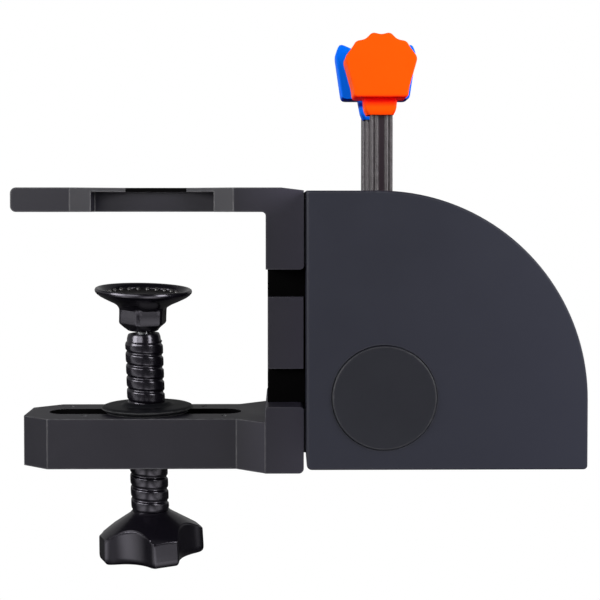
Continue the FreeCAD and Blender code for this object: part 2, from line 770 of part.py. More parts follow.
def lower_jaw():
    """The thick arm that carries the nut, with a long groove on top and its root block."""
    arm = prism_z(mirrored([(LOWER_TIP, 10.0), (-37.7, ARM_HALF), (37.1, ARM_HALF),
                            (BASE_IN + 0.5, CLAMP_HALF)]), LOWER_BOTTOM, LOWER_TOP)
    root = block(BASE_IN, COLUMN_OUT, -CLAMP_HALF, CLAMP_HALF, LOWER_BOTTOM, BASE_TOP)
    root = rounded(root, 1.5, lambda edge: lies_at(edge, "z", BASE_TOP) and edge.Length > 20)
    root = rounded(root, 2.0, lambda edge: lies_at(edge, "x", COLUMN_OUT)
                   and lies_at(edge, "z", LOWER_BOTTOM))
    jaw = fuse([arm, root])
    jaw = jaw.cut(rod(NUT_R, V(0, 0, LOWER_BOTTOM - 1), V(0, 0, LOWER_TOP + 1)))
    groove_half = 6.7
    floor = LOWER_TOP - 3.5
    groove = block(-33.3, 31.8, -groove_half, groove_half, floor, LOWER_TOP + 1)
    for x in (-33.3, 31.8):
        groove = groove.fuse(rod(groove_half, V(x, 0, floor), V(x, 0, LOWER_TOP + 1)))
    jaw = jaw.cut(groove)
    for x, y in PIN_HOLES:
        jaw = jaw.cut(rod(1.2, V(x, y, LOWER_TOP - 2.5), V(x, y, LOWER_TOP + 1)))
    for y in (-BOLT_Y, BOLT_Y):
        jaw = jaw.cut(rod(2.6, V(BOLT_X, y, LOWER_BOTTOM - 1), V(BOLT_X, y, BASE_TOP + 1)))
        jaw = jaw.cut(rod(4.6, V(BOLT_X, y, LOWER_BOTTOM - 1), V(BOLT_X, y, LOWER_BOTTOM + 5.5)))
    for y in (-MOUNT_Y, MOUNT_Y):
        jaw = jaw.cut(rod(2.5, V(53.5, y, MOUNT_Z[1]), V(COLUMN_OUT + 1, y, MOUNT_Z[1])))
    return jaw.removeSplitter()


def spine_bolts():
    """Two long socket screws that hold jaw, spine and jaw together."""
    bolts = []
    seat = LOWER_BOTTOM + 5.5
    for y in (-BOLT_Y, BOLT_Y):
        head = rod(4.3, V(BOLT_X, y, seat - 5.0), V(BOLT_X, y, seat))
        head = head.cut(rod(2.1, V(BOLT_X, y, seat - 6.0), V(BOLT_X, y, seat - 2.4)))
        bolts.append(head.fuse(rod(2.5, V(BOLT_X, y, seat), V(BOLT_X, y, 3))))
    return group(bolts)


def clamp_mount_screws():
    """Four screws from inside the housing into the clamp."""
    screws = []
    for y, z in mount_points():
        head = rod(4.0, V(WALL_IN, y, z), V(WALL_IN + 3.2, y, z))
        head = head.cut(rod(1.9, V(WALL_IN + 1.4, y, z), V(WALL_IN + 4, y, z)))
        screws.append(head.fuse(rod(2.5, V(53.5, y, z), V(WALL_IN, y, z))))
    return group(screws)


def clamp_nut():
    """Flanged insert in the lower jaw, with the leaning bore that the screw turns in."""
    flange_top = LOWER_TOP + FLANGE
    underside = flange_top - FLANGE_EDGE
    profile = [(0, flange_top), (FLANGE_R - 0.8, flange_top), (FLANGE_R, flange_top - 0.8),
               (FLANGE_R, underside), (FLANGE_R - 1.6, underside), (FLANGE_R - 1.6, LOWER_TOP),
               (NUT_R, LOWER_TOP),
               (NUT_R, LOWER_BOTTOM), (9.0, LOWER_BOTTOM), (9.0, LOWER_BOTTOM - 1.2),
               (0, LOWER_BOTTOM - 1.2)]
    bore = rod(THREAD_R + RUNNING, V(0, 0, LOWER_BOTTOM - 6), V(0, 0, flange_top + 6))
    return turned(profile).cut(leaned(bore))


def clamp_screw():
    """The screw at its thread's outside size, bored for the stud and stepped for the knob."""
    profile = [(0, SCREW_TOP), (6.1, SCREW_TOP), (6.4, SCREW_TOP - 0.5), (THREAD_R, SCREW_TOP - 3.9),
               (THREAD_R, NECK_TOP), (TANG_R, NECK_TOP), (TANG_R, NECK_TOP - 14), (0, NECK_TOP - 14)]
    screw = turned(profile).cut(rod(BORE_R, V(0, 0, SCREW_TOP - 14), V(0, 0, SCREW_TOP + 1)))
    screw = screw.cut(Part.makeSphere(SCREW_HOLLOW_R, V(0, 0, BALL_Z)))
    return leaned(screw)


def ball_stud():
    """The ball that the pad tilts on, with its shank in the screw's end."""
    ball = Part.makeSphere(BALL_R, V(0, 0, BALL_Z))
    neck = rod(3.2, V(0, 0, SCREW_TOP + 0.4), V(0, 0, BALL_Z))
    shank = rod(SHAFT_R, V(0, 0, SCREW_TOP - 13.5), V(0, 0, SCREW_TOP + 0.4))
    return leaned(fuse([ball, neck, shank]))


def tilted(shape, tilt_x, tilt_y):
    """Moves a pad piece onto the leaning ball and tilts it to the way it rests."""
    centre = ball_centre()
    copy = shape.copy()
    copy.translate(centre.sub(V(0, 0, BALL_Z)))
    copy.rotate(centre, X_AXIS, tilt_x)
    copy.rotate(centre, Y_AXIS, tilt_y)
    return copy


def socket_liner():
    """A split plastic shell between ball and cup."""
    centre = V(0, 0, BALL_Z)
    shell = Part.makeSphere(LINER_OUT, centre).cut(Part.makeSphere(LINER_IN, centre))
    shell = shell.cut(rod(4.3, V(0, 0, BALL_Z - 9), centre))
    shell = shell.cut(rod(2.0, centre, V(0, 0, BALL_Z + 9)))
    return tilted(shell, REST_TILT_X, -SCREW_LEAN)


PAD_RECESS_R = 15.8
PAD_RECESS_Z = PAD_TOP - 2.0


def pad_cup():
    """The flared disc and the socket under it."""
    profile = [(0, PAD_RECESS_Z), (PAD_RECESS_R, PAD_RECESS_Z), (PAD_RECESS_R, PAD_TOP - 0.6),
               (PAD_RIM_R - 0.7, PAD_TOP), (PAD_RIM_R, PAD_TOP - 0.4), (PAD_RIM_R, PAD_TOP - 1.2),
               (9.05, -38.7), (9.05, -46.0), (6.4, -48.4), (0, -48.4)]
    cup = turned(profile).cut(Part.makeSphere(SOCKET_R, V(0, 0, BALL_Z)))
    cup = cup.cut(rod(4.8, V(0, 0, BALL_Z - 9), V(0, 0, BALL_Z)))
    return tilted(cup, REST_TILT_X, REST_TILT_Y)


def pad_face():
    """The insert that grips the desk: a disc with a ring of small nubs."""
    disc = rod(PAD_RECESS_R, V(0, 0, PAD_RECESS_Z), V(0, 0, PAD_RECESS_Z + 1.2))
    for i in range(24):
        turn = math.radians(15 * i)
        x = 13.2 * math.cos(turn)
        y = 13.2 * math.sin(turn)
        disc = disc.fuse(rod(0.9, V(x, y, PAD_RECESS_Z + 1.0), V(x, y, PAD_RECESS_Z + 1.7)))
    return tilted(disc, REST_TILT_X, REST_TILT_Y)


def star_knob():
    """Four-lobed hand knob with a sloping top and a short neck."""
    plan = rod(15.0, V(0, 0, KNOB_BOTTOM), V(0, 0, NECK_TOP))
    lobe = block(0, KNOB_R - 4.5, -5.3, 5.3, KNOB_BOTTOM, NECK_TOP)
    tip = rod(5.3, V(KNOB_R - 5.3, 0, KNOB_BOTTOM), V(KNOB_R - 5.3, 0, NECK_TOP))
    for i in range(4):
        arm = lobe.fuse(tip)
        arm.rotate(V(0, 0, 0), Z_AXIS, KNOB_TURN - 90 + 90 * i)
        plan = plan.fuse(arm)
    envelope = turned([(0, KNOB_BOTTOM), (KNOB_R - 1.5, KNOB_BOTTOM), (KNOB_R, KNOB_BOTTOM + 1.5),
                       (KNOB_R, -131.5), (KNOB_R - 1.5, -130.0), (15.5, -127.0), (7.5, -125.5),
                       (7.5, NECK_TOP), (0, NECK_TOP)])
    knob = envelope.common(plan).removeSplitter()
    knob = knob.cut(rod(TANG_R, V(0, 0, NECK_TOP - 14), V(0, 0, NECK_TOP + 1)))
    return leaned(knob.cut(rod(6.5, V(0, 0, KNOB_BOTTOM - 1), V(0, 0, KNOB_BOTTOM + 2.0))))


def star_knob_plug():
    """The disc that closes the knob's underside."""
    return leaned(rod(6.5, V(0, 0, KNOB_BOTTOM + 0.2), V(0, 0, KNOB_BOTTOM + 2.0)))


# ---------------------------------------------------------------- all pieces
def pieces():
    """Every piece by name."""
    made = {
        "quadrant_panel": quadrant_panel(),
        "base_frame": base_frame(),
        "side_cover_left": side_cover_left(),
        "side_cover_right": side_cover_right(),
        "pivot_cap_left": pivot_cap(-1),
        "pivot_cap_right": pivot_cap(1),
        "tie_posts": tie_posts(),
        "cover_screws": cover_screws(),
        "slot_dust_strips": slot_dust_strips(),
        "pivot_shaft": pivot_shaft(),
        "friction_washers": friction_washers(),
        "shaft_spacers": shaft_spacers(),
        "pot_bracket": pot_bracket(),
        "bracket_screws": bracket_screws(),
        "pot_nuts": pot_nuts(),
        "circuit_board": circuit_board(),
        "board_parts": board_parts(),
        "board_spacers": board_spacers(),
        "board_screws": board_screws(),
        "cable_grommet": cable_grommet(),
        "upper_jaw": upper_jaw(),
        "clamp_spine": clamp_spine(),
        "lower_jaw": lower_jaw(),
        "spine_bolts": spine_bolts(),
        "clamp_mount_screws": clamp_mount_screws(),
        "clamp_nut": clamp_nut(),
        "clamp_screw": clamp_screw(),
        "ball_stud": ball_stud(),
        "socket_liner": socket_liner(),
        "pad_cup": pad_cup(),
        "pad_face": pad_face(),
        "star_knob": star_knob(),
        "star_knob_plug": star_knob_plug(),
    }
    knobs = {"mixture": mixture_knob, "propeller": propeller_knob, "throttle": throttle_knob}
    for name, y in LEVERS:
        made[name + "_lever_arm"] = lever_arm(y, STEM_TOP[name])
        made[name + "_sector_gear"] = sector_gear(y)
        made[name + "_knob"] = knobs[name](y, STEM_TOP[name])
        made[name + "_pinion"] = pinion(y)
        made[name + "_potentiometer"] = potentiometer(y)
    for side, y in (("left", LEVERS[0][1]), ("middle", LEVERS[1][1]), ("right", LEVERS[2][1])):
        made[side + "_switch_body"] = switch_body(y)
        made[side + "_rocker_cap"] = rocker_cap(y)
    return made


os.makedirs("parts", exist_ok=True)
for node, solid in pieces().items():
    solid.exportStep("parts/" + node + ".step")
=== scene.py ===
"""Looks of the desk-clamp throttle quadrant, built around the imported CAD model.

Lengths in the builders are millimetres in the CAD frame; MM turns them into metres.
"""
import json
import math
import bmesh
import bpy
from mathutils import Matrix, Vector

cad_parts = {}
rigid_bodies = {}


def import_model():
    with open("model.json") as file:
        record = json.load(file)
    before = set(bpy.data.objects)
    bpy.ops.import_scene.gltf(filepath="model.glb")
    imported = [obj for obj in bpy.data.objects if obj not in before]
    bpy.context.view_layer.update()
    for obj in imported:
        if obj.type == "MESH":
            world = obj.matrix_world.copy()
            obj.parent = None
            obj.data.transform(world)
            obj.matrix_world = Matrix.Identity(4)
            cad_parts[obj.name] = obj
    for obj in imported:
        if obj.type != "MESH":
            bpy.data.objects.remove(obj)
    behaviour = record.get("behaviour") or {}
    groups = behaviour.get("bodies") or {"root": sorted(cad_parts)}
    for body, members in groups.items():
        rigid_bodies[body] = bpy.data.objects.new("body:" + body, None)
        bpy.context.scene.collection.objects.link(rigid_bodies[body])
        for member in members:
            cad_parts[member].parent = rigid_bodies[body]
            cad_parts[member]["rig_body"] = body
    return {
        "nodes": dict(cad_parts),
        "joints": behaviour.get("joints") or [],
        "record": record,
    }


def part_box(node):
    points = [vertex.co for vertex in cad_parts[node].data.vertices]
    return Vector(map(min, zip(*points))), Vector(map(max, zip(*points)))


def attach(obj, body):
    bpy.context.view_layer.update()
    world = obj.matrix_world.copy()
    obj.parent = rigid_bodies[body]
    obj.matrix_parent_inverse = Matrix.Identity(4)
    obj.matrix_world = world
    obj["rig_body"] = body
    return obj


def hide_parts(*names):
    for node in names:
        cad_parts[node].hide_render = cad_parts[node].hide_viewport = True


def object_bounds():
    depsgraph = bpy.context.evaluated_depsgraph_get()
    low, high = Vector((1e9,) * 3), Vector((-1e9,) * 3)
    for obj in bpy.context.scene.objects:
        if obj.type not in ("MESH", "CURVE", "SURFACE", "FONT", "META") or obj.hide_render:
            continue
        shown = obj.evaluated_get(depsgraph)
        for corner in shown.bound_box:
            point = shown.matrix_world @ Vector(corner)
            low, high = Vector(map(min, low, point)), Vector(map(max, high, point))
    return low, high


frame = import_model()
cad_low, cad_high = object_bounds()

MM = 0.001
TAU = 2 * math.pi
JOINTS = {joint["name"]: joint for joint in frame["joints"]}


# ---------------------------------------------------------------- places read from the frame
def joint_place(name):
    """A hinge's place in millimetres."""
    return Vector(JOINTS[name]["pos_m"]) / MM


def box_mm(node):
    """The corners of a node's box in millimetres."""
    low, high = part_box(node)
    return low / MM, high / MM


LEVERS = {name: joint_place(name + "_lever_swing") for name in ("mixture", "propeller", "throttle")}
PIVOT = LEVERS["mixture"]
NUT_MIDDLE = joint_place("screw_turn")
BALL = joint_place("pad_tilt_sideways")
LEAN_AXIS = Vector(JOINTS["screw_lift"]["axis"])
LEAN = math.atan2(-LEAN_AXIS.x, LEAN_AXIS.z)
PAD_TILT = (3.0, 1.9)
THREAD_R = (box_mm("clamp_screw")[1].y - box_mm("clamp_screw")[0].y) / 2
THREAD_PITCH = 5.0
THREAD_DEPTH = 0.62
THREAD_PHASE = 0.28
BORE_GAP = 0.06
RATIOS = {link["joint"]: link["ratio"] for link in frame["record"]["behaviour"]["couplings"]}
THREAD_HAND = 1 if RATIOS["screw_lift"] > 0 else -1
KNOB_BASE = PIVOT.z + 113.0
KNOB_SHIFT = -0.6
WAIST_Y = 15.5
PAD_RISE = BALL.z + 42.5
SOCKET_TURN = 126.0
SOCKET_START = -38.0
SOCKET_BLEND = 1.4
NUBS = 24
NUB_RING_R = 14.9
SCREW_TOP = -49.4
SCREW_END = -122.4
STAR_BOTTOM = -141.5
STAR_RIM = -131.5
STAR_SLOPE = 0.62
STAR_NECK_R = 10.2
STAR_TURN = -68.0
STAR_FLAT = 20.9
STAR_ARC_C = 34.6
STAR_ARC_R = 19.3
STAR_SOFT = 3.0

# camera: place in millimetres, angles in degrees
CAMERA_PLACE = Vector((56.21, -509.69, 2.36))
CAMERA_DOWN = 1.567
CAMERA_TURN = -0.713
CAMERA_LENS = 74.77
CAMERA_SHIFT_Y = -0.1

# lamps in watts, the floor's drop in metres, and strengths for its glow and for the room
RIGHT_LAMP_W = 5.2
FRONT_LAMP_W = 3.2
LEFT_LAMP_W = 4.2
FLOOR_DROP = 0.06
FLOOR_GLOW = 2.2
FRONT = 0.10
SIDES = 1.6
MIRRORED = 0.28


# ---------------------------------------------------------------- camera
def make_camera():
    """Level with the top of the desk, a little to the left of the housing."""
    data = bpy.data.cameras.new("camera")
    data.sensor_width = 36.0
    data.lens = CAMERA_LENS
    data.shift_y = CAMERA_SHIFT_Y
    data.clip_start = 0.01
    data.clip_end = 20.0
    camera = bpy.data.objects.new("camera", data)
    camera.location = CAMERA_PLACE * MM
    camera.rotation_euler = (math.radians(90 - CAMERA_DOWN), 0, math.radians(CAMERA_TURN))
    bpy.context.scene.collection.objects.link(camera)
    bpy.context.scene.camera = camera


make_camera()


# ---------------------------------------------------------------- materials
def add(nodes, kind, **values):
    """A new node with its properties and unlinked inputs set."""
    node = nodes.new(kind)
    for key, value in values.items():
        name = key.replace("_", " ")
        if name in node.inputs:
            node.inputs[name].default_value = value
        else:
            setattr(node, key, value)
    return node


def ranged(nodes, links, value, low, high, to_low=0.0, to_high=1.0):
    """A value carried from one range to another and clamped there."""
    node = add(nodes, "ShaderNodeMapRange")
    node.inputs["From Min"].default_value = low
    node.inputs["From Max"].default_value = high
    node.inputs["To Min"].default_value = to_low
    node.inputs["To Max"].default_value = to_high
    links.new(value, node.inputs["Value"])
    return node.outputs["Result"]


def combined(nodes, links, operation, first, second):
    """Two values put together by a math node."""
    node = add(nodes, "ShaderNodeMath", operation=operation)
    links.new(first, node.inputs[0])
    links.new(second, node.inputs[1])
    return node.outputs["Value"]


def parted(nodes, links, vector):
    """The three parts of a vector, by name."""
    node = add(nodes, "ShaderNodeSeparateXYZ")
    links.new(vector, node.inputs["Vector"])
    return node.outputs


def tinted(nodes, links, amount, surface, colour):
    """A colour laid over a surface by the given amount."""
    node = add(nodes, "ShaderNodeMix", data_type="RGBA")
    node.inputs["B"].default_value = list(colour) + [1]
    links.new(surface, node.inputs["A"])
    links.new(amount, node.inputs["Factor"])
    return node.outputs["Result"]


def shadowed(nodes, links, place, surface, deep, low, high):
    """Painted shade: mixes in a deep colour on downward faces and in a band that fades downwards."""
    height = parted(nodes, links, place.outputs["Object"])["Z"]
    fade = ranged(nodes, links, height, low * MM, high * MM)
    over = ranged(nodes, links, height, (high + 2.2) * MM, (high + 0.9) * MM)
    band = combined(nodes, links, "MULTIPLY", fade, over)
    shape = add(nodes, "ShaderNodeNewGeometry")
    down = ranged(nodes, links, parted(nodes, links, shape.outputs["Normal"])["Z"], -0.25, -0.75)
    amount = combined(nodes, links, "MAXIMUM", band, down)
    return tinted(nodes, links, amount, surface, deep)


def painted_light_rightwards(nodes, links, place, surface, colour, low, high, gain):
    """Painted light: mixes in a lighter tone towards larger x."""
    across = parted(nodes, links, place.outputs["Object"])["X"]
    amount = ranged(nodes, links, across, low * MM, high * MM)
    return tinted(nodes, links, amount, surface, [c * gain for c in colour])


def edge_highlight_and_wear(nodes, links, place, surface, colour, edge):
    """Painted highlight with some patchy wear: lighter patches along the edges of upright faces."""
    rounded = add(nodes, "ShaderNodeBevel", samples=6, Radius=0.8 * MM)
    shape = add(nodes, "ShaderNodeNewGeometry")
    compare = add(nodes, "ShaderNodeVectorMath", operation="DOT_PRODUCT")
    links.new(rounded.outputs["Normal"], compare.inputs[0])
    links.new(shape.outputs["True Normal"], compare.inputs[1])
    mask = ranged(nodes, links, compare.outputs["Value"], 0.998, 0.975)
    steep = add(nodes, "ShaderNodeMath", operation="ABSOLUTE")
    links.new(parted(nodes, links, rounded.outputs["Normal"])["Z"], steep.inputs[0])
    upright = ranged(nodes, links, steep.outputs["Value"], 0.7, 0.2, 0.12)
    corner = combined(nodes, links, "MULTIPLY", mask, upright)
    patchy = add(nodes, "ShaderNodeTexNoise", Scale=420.0, Detail=3.0)
    links.new(place.outputs["Object"], patchy.inputs["Vector"])
    amount = combined(nodes, links, "MULTIPLY", corner, patchy.outputs["Fac"])
    return tinted(nodes, links, amount, surface, [min(c + edge, 1.0) for c in colour])


def plastic(name, colour, rough, grain=0.35, bump=0.08, mottle=0.18, edge=0.0, specular=0.5,
            stretch=(1, 1, 1), tint=(1, 1, 1), metal=0.0, rough_spread=0.08, under=None, lift=None):
    """Moulded or coated surface: fine grain, slow colour drift, painted edge highlight with wear.

    under is (colour, low z, high z): painted shade, a deeper colour on faces turned down and,
    fading downwards, in the band between the two heights. lift is (low x, high x, gain):
    painted light, a lighter colour to the right.
    """
    material = bpy.data.materials.new(name)
    material.use_nodes = True
    nodes = material.node_tree.nodes
    links = material.node_tree.links
    shader = nodes["Principled BSDF"]
    shader.inputs["Specular IOR Level"].default_value = specular
    shader.inputs["Specular Tint"].default_value = list(tint) + [1]
    shader.inputs["Metallic"].default_value = metal
    place = add(nodes, "ShaderNodeTexCoord")
    scaled = add(nodes, "ShaderNodeMapping", Scale=stretch)
    links.new(place.outputs["Object"], scaled.inputs["Vector"])

    slow = add(nodes, "ShaderNodeTexNoise", Scale=55.0, Detail=4.0, Roughness=0.6)
    links.new(scaled.outputs["Vector"], slow.inputs["Vector"])
    drift = add(nodes, "ShaderNodeMix", data_type="RGBA")
    dark = [c * (1 - mottle) for c in colour]
    light = [min(c * (1 + mottle), 1.0) for c in colour]
    drift.inputs["A"].default_value = dark + [1]
    drift.inputs["B"].default_value = light + [1]
    links.new(slow.outputs["Fac"], drift.inputs["Factor"])
    surface = drift.outputs["Result"]

    # painted highlight along the edges, with some patchy wear
    if edge:
        surface = edge_highlight_and_wear(nodes, links, place, surface, colour, edge)
    # painted shade on faces turned down and in a band below a given height
    if under:
        surface = shadowed(nodes, links, place, surface, *under)
    # painted light: lighter towards larger x
    if lift:
        surface = painted_light_rightwards(nodes, links, place, surface, colour, *lift)
    links.new(surface, shader.inputs["Base Color"])

    fine = add(nodes, "ShaderNodeTexNoise", Scale=1000.0 / grain, Detail=2.0, Roughness=0.55)
    links.new(scaled.outputs["Vector"], fine.inputs["Vector"])
    gloss = ranged(nodes, links, slow.outputs["Fac"], 0.0, 1.0,
                   max(rough - rough_spread, 0.03), min(rough + rough_spread, 1.0))
    links.new(gloss, shader.inputs["Roughness"])
    relief = add(nodes, "ShaderNodeBump", Strength=bump, Distance=0.05 * MM)
    links.new(fine.outputs["Fac"], relief.inputs["Height"])
    links.new(relief.outputs["Normal"], shader.inputs["Normal"])
    return material


def all_materials():
    """A material for each of the record's slots, and three more for places within one."""
    # the seventh number, edge, sets the strength of a painted edge highlight with some patchy wear
    return {
        "housing_shell": plastic("housing_shell", (0.0122, 0.0131, 0.0225), 0.55, 0.30, 0.25, 0.10, 0.05,
                                 # painted light: lighter towards the housing's right end
                                 specular=0.25, lift=(95, 172, 1.35)),
        "pivot_cap": plastic("pivot_cap", (0.0075, 0.0080, 0.0130), 0.52, 0.30, 0.25, 0.10, 0.08,
                             specular=0.25),
        "clamp_body": plastic("clamp_body", (0.0115, 0.0104, 0.0162), 0.48, 0.45, 0.30, 0.16, 0.22,
                              # painted light: lighter towards the spine beside the housing, where the
                              # housing blocks the right lamp
                              specular=0.30, lift=(38, 64, 3.0)),
        # near-black for painted shade in the clamp's gaps, groove and the lip's waist
        "deep_shade": plastic("deep_shade", (0.0022, 0.002, 0.0022), 0.85, 0.45, 0.30, 0.16,
                              specular=0.02),
        "steel": plastic("steel", (0.55, 0.56, 0.58), 0.28, 0.12, 0.10, 0.10, 0.0, metal=1.0,
                         stretch=(1, 12, 1)),
        "black_screws": plastic("black_screws", (0.018, 0.018, 0.020), 0.35, 0.10, 0.10, 0.2, 0.06),
        "inner_plastic": plastic("inner_plastic", (0.70, 0.69, 0.64), 0.45, 0.3, 0.1, 0.05),
        "zinc_bracket": plastic("zinc_bracket", (0.55, 0.55, 0.53), 0.34, 0.8, 0.15, 0.2, metal=1.0),
        "board_green": plastic("board_green", (0.015, 0.13, 0.05), 0.30, 0.6, 0.15, 0.25),
        "chip_black": plastic("chip_black", (0.02, 0.02, 0.02), 0.45, 0.2, 0.2, 0.2),
        "rubber_black": plastic("rubber_black", (0.006, 0.005, 0.006), 0.50, 0.4, 0.2, 0.2,
                                specular=0.12),
        "rubber_nub": plastic("rubber_nub", (0.05, 0.047, 0.047), 0.22, 0.4, 0.1, 0.2),
        "clamp_hardware": plastic("clamp_hardware", (0.0042, 0.0036, 0.0058), 0.22, 0.6, 0.03, 0.25,
                                  specular=0.65, tint=(0.92, 0.88, 1.0), rough_spread=0.04),
        "nut_dull": plastic("nut_dull", (0.0045, 0.0047, 0.0062), 0.45, 0.6, 0.05, 0.25, 0.16,
                            specular=0.04),
        "stem_plastic": plastic("stem_plastic", (0.014, 0.006, 0.011), 0.36, 0.25, 0.12, 0.15, 0.14,
                                stretch=(1, 1, 0.15)),
        "gear_white": plastic("gear_white", (0.80, 0.79, 0.74), 0.40, 0.3, 0.1, 0.04),
        "pot_case": plastic("pot_case", (0.05, 0.09, 0.19), 0.40, 0.3, 0.1, 0.1),
        "knob_orange": plastic("knob_orange", (1.0, 0.088, 0.0), 0.50, 0.28, 0.15, 0.05, 0.0,
                               specular=0.04,
                               # painted shade: deep red on faces turned down and in a band just below the
                               # knob
                               under=((1.0, 0.001, 0.001), KNOB_BASE - 3.4, KNOB_BASE - 1.0)),
        "knob_blue": plastic("knob_blue", (0.0, 0.155, 1.0), 0.50, 0.28, 0.15, 0.06, 0.0,
                             specular=0.03,
                             # painted shade: dark blue on faces turned down and in a band just below the
                             # knob
                             under=((0.0, 0.012, 0.25), KNOB_BASE - 1.6, KNOB_BASE - 0.8)),
        "knob_black": plastic("knob_black", (0.022, 0.022, 0.026), 0.46, 0.28, 0.2, 0.15, 0.05),
        "switch_plastic": plastic("switch_plastic", (0.018, 0.018, 0.020), 0.32, 0.2, 0.1, 0.15, 0.06),
    }


MATERIALS = all_materials()
SLOT_OF = {part["node"]: part["material_slot"] for part in frame["record"]["subparts"]}


# ---------------------------------------------------------------- mesh helpers
def piece(name, bm, body, slot, nodes=(), smooth=35, look=None):
    """Makes an object from a bmesh in millimetres; look is a material other than the slot's own."""
    bmesh.ops.scale(bm, vec=(MM, MM, MM), verts=bm.verts)
    bmesh.ops.recalc_face_normals(bm, faces=bm.faces)
    mesh = bpy.data.meshes.new(name)
    bm.to_mesh(mesh)
    bm.free()
    mesh.polygons.foreach_set("use_smooth", [True] * len(mesh.polygons))
    mesh.set_sharp_from_angle(angle=math.radians(smooth))
    mesh.materials.append(MATERIALS[look or slot])
    made = bpy.data.objects.new(name, mesh)
    bpy.context.scene.collection.objects.link(made)
    even = made.modifiers.new("even_normals", "WEIGHTED_NORMAL")
    even.keep_sharp = True
    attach(made, body)
    if nodes:
        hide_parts(*nodes)
    return made


def loft(bm, rings, closed_ends=True):
    """Skins rings of points, all of one length, and caps the two ends."""
    made = [[bm.verts.new(point) for point in ring] for ring in rings]
    count = len(made[0])
    for low, high in zip(made, made[1:]):
        for i in range(count):
            j = (i + 1) % count
            bm.faces.new((low[i], low[j], high[j], high[i]))
    if closed_ends:
        bm.faces.new(made[0][::-1])
        bm.faces.new(made[-1])


def turned(profile, segments=96, radius_at=None):
    """Rings about the Z axis from an (r, z) profile; radius_at may reshape each one."""
    rings = []
    for r, z in profile:
        ring = []
        for i in range(segments):
            turn = TAU * i / segments
            here = radius_at(r, z, turn) if radius_at else r
            ring.append(Vector((here * math.cos(turn), here * math.sin(turn), z)))
        rings.append(ring)
    return rings


def moved(rings, matrix):
    """Rings carried through a matrix."""
    return [[matrix @ point for point in ring] for ring in rings]


def about(centre, *turns):
    """A turn, or several in order, about a point."""
    matrix = Matrix.Identity(4)
    for angle, axis in turns:
        matrix = Matrix.Rotation(angle, 4, axis) @ matrix
    return Matrix.Translation(centre) @ matrix @ Matrix.Translation(-centre)


def slab(bm, outline, centre, y0, y1, edge_r, crown=0.0, steps=4):
    """A plate in the XZ plane between y0 and y1, with rounded edges and crowned faces."""
    size = max((Vector(p) - Vector(centre)).length for p in outline)

    def ring(y, inset):
        """The outline at one depth, drawn in towards the centre."""
        share = 1 - inset / size
        return [Vector((centre[0] + (x - centre[0]) * share, y, centre[1] + (z - centre[1]) * share))
                for x, z in outline]

    profile = []
    for share in (0.15, 0.4, 0.65, 0.85):
        inset = size * (1 - share) + edge_r * share
        profile.append((y0 - crown * (1 - share ** 2), inset))
    for i in range(steps + 1):
        turn = math.pi / 2 * i / steps
        profile.append((y0 + edge_r * (1 - math.cos(turn)), edge_r * (1 - math.sin(turn))))
    back = [(y0 + y1 - y, inset) for y, inset in reversed(profile)]
    loft(bm, [ring(y, inset) for y, inset in profile + back])


def refined(node, width, segments=2, angle=28.0):
    """A copy of a CAD node with its flat faces merged and its sharp edges rounded."""
    source = frame["nodes"][node].data
    bm = bmesh.new()
    made = [bm.verts.new(v.co / MM) for v in source.vertices]
    for polygon in source.polygons:
        try:
            bm.faces.new([made[i] for i in polygon.vertices])
        except ValueError:
            continue
    bmesh.ops.remove_doubles(bm, verts=bm.verts, dist=0.002)
    bmesh.ops.dissolve_limit(bm, angle_limit=math.radians(0.5), verts=bm.verts, edges=bm.edges)
    sharp = [edge for edge in bm.edges
             if edge.is_manifold and edge.calc_face_angle(0.0) > math.radians(angle)]
    bmesh.ops.bevel(bm, geom=sharp, offset=width, segments=segments, profile=0.5,
                    affect="EDGES", clamp_overlap=True)
    return piece(node + "_finished", bm, frame["nodes"][node]["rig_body"], SLOT_OF[node], (node,))


# ---------------------------------------------------------------- knobs and stems
def joined(name, shapes, body, slot, nodes=(), smooth=35):
    """One piece from several closed shapes, united by an exact boolean."""
    first = None
    for k, bm in enumerate(shapes):
        bmesh.ops.recalc_face_normals(bm, faces=bm.faces)
        mesh = bpy.data.meshes.new("part")
        bm.to_mesh(mesh)
        bm.free()
        part = bpy.data.objects.new("part", mesh)
        bpy.context.scene.collection.objects.link(part)
        if first is None:
            first = part
            continue
        union = first.modifiers.new("union", "BOOLEAN")
        union.operation = "UNION"
        union.solver = "EXACT"
        union.object = part
        bpy.context.view_layer.update()
        done = bpy.data.meshes.new_from_object(first.evaluated_get(bpy.context.evaluated_depsgraph_get()))
        first.modifiers.clear()
        first.data = done
        bpy.data.objects.remove(part)
    bm = bmesh.new()
    bm.from_mesh(first.data)
    bpy.data.objects.remove(first)
    return piece(name, bm, body, slot, nodes, smooth)


def collar_shape(name, half_top, half_bottom, half_depth=5.5):
    """The tapered neck below a knob."""
    place = LEVERS[name]
    low = box_mm(name + "_knob")[0].z
    x = KNOB_SHIFT + place.x
    bm = bmesh.new()
    rings = []
    rounding = 0.8
    for i in range(7):
        share = i / 6
        half = half_bottom + (half_top - half_bottom) * share
        inset = rounding * (1 - math.sin(min(share * 3, 1.0) * math.pi / 2))
        rings.append(rounded_box(x, place.y, half - inset, half_depth - inset, low + 8.0 * share, 1.2))
    loft(bm, rings)
    return bm


def rounded_box(x, y, half_x, half_y, z, radius, steps=4):
    """A ring in the XY plane with rounded corners."""
    ring = []
    for k, (sx, sy) in enumerate(((1, 1), (-1, 1), (-1, -1), (1, -1))):
        for i in range(steps + 1):
            turn = math.radians(90 * k + 90 * i / steps)
            ring.append(Vector((x + sx * (half_x - radius) + radius * math.cos(turn),
                                y + sy * (half_y - radius) + radius * math.sin(turn), z)))
    return ring


